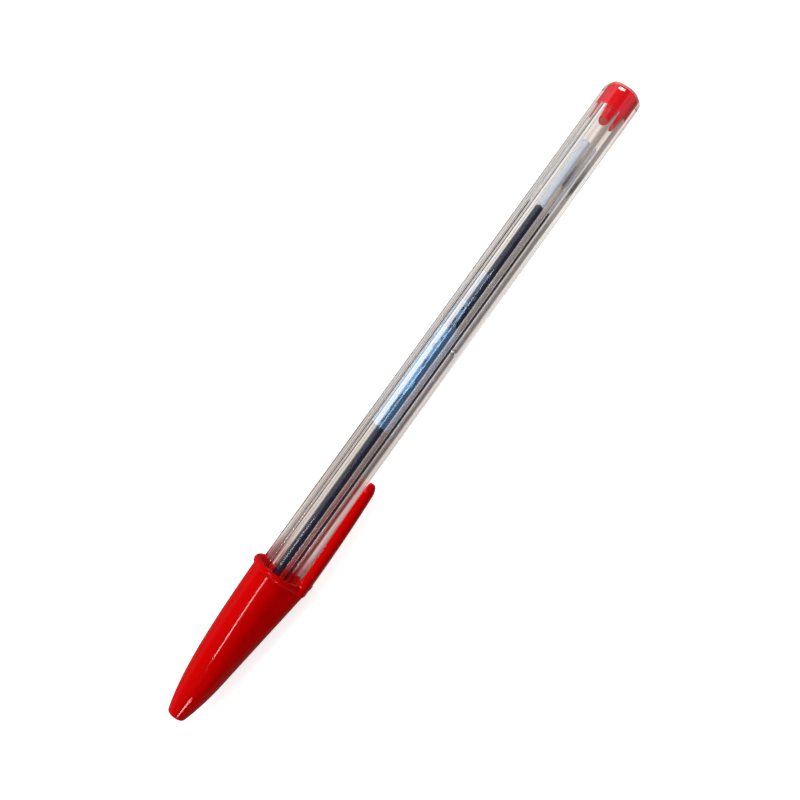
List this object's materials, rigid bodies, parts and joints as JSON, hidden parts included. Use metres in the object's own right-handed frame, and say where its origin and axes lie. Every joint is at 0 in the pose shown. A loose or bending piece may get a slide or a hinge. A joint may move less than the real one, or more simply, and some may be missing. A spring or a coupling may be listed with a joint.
{
  "type": "ballpoint pen",
  "caption": "Capped ballpoint pen: clear hexagonal barrel, ink tube with a metal ball point, tail plug and a push-on cap with a clip.",
  "frame": {"origin": "centre of the end plug's flat outer face, at the tail of the pen", "axes": "+X along the pen from the writing point out through the tail; the clip is on the -Y side; two flats of the barrel face +Z and -Z"},
  "size_m": [0.149, 0.0125, 0.011],
  "materials": {
    "clear_barrel": "clear moulded polystyrene, glossy",
    "red_plastic": "glossy moulded red plastic",
    "tube_plastic": "milky translucent extruded tube",
    "ink": "dark blue-black oil ink, standing in a tube",
    "holder_plastic": "natural off-white moulded plastic",
    "brass": "fine turned metal",
    "ball_metal": "polished hard metal ball"
  },
  "bodies": {
    "pen": {"barrel": "clear_barrel", "end_plug": "red_plastic", "refill_tube": "tube_plastic", "ink_column": "ink", "tip_holder": "holder_plastic", "writing_point": "brass"},
    "cap": {"cap": "red_plastic"},
    "ball": {"writing_ball": "ball_metal"}
  },
  "joints": [
    {"name": "cap_slide", "type": "slide", "parent": "pen", "child": "cap", "axis": [-1, 0, 0], "range_m": [0, 0.06]},
    {"name": "ball_roll", "type": "hinge", "parent": "pen", "child": "ball", "pos_m": [-0.14423, 0, 0], "axis": [0, 1, 0], "continuous": true}
  ]
}
